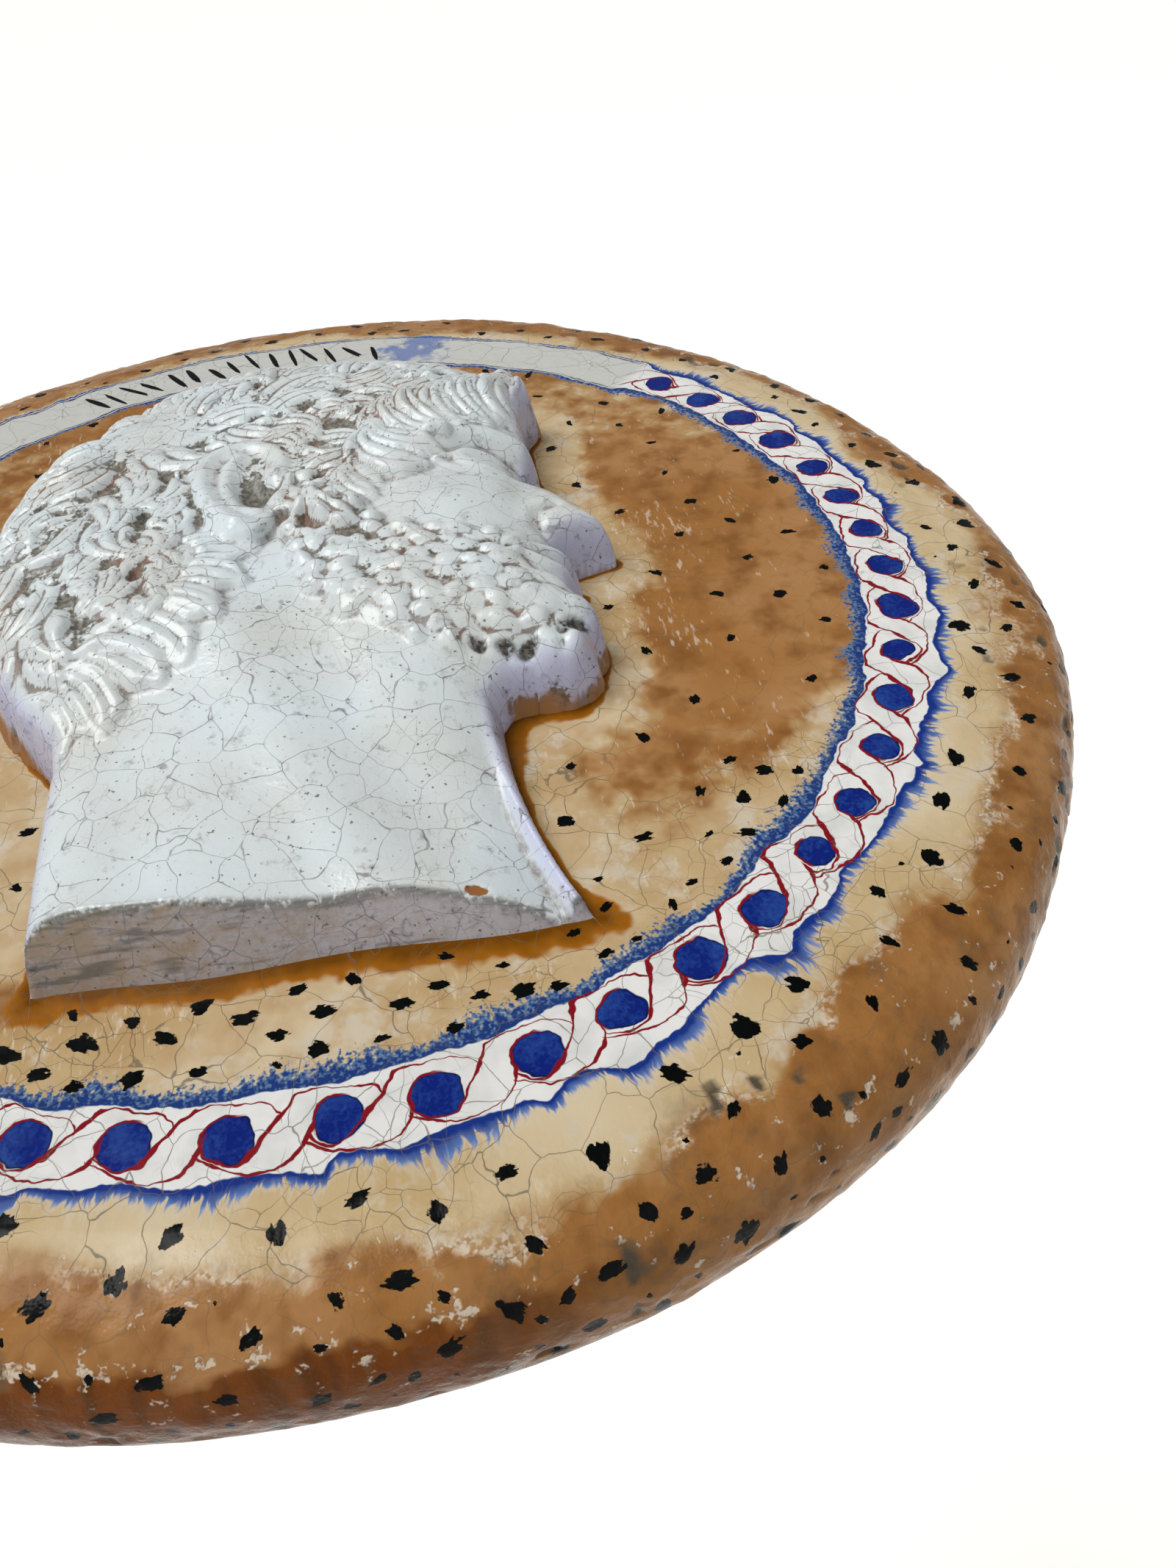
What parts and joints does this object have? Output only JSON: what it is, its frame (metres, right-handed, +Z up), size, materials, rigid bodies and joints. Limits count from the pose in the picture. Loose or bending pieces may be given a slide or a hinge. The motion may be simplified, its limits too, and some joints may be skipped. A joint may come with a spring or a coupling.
{
  "type": "wall plaque",
  "caption": "Thick round wall plaque of glazed terracotta with a bearded head in profile raised on its face and a painted guilloche band round it.",
  "frame": {"origin": "centre of the flat back face, which lies against the wall", "axes": "+Y out of the back, into the wall; the raised head looks out along -Y; +Z up, from the cut of the neck to the crown; +X to the right as seen from the front, the way the profile faces"},
  "size_m": [0.5638, 0.0915, 0.5594],
  "materials": {
    "glazed_terracotta": "glossy crackled glaze"
  },
  "bodies": {
    "root": {"roundel_plaque": "glazed_terracotta"}
  },
  "joints": []
}
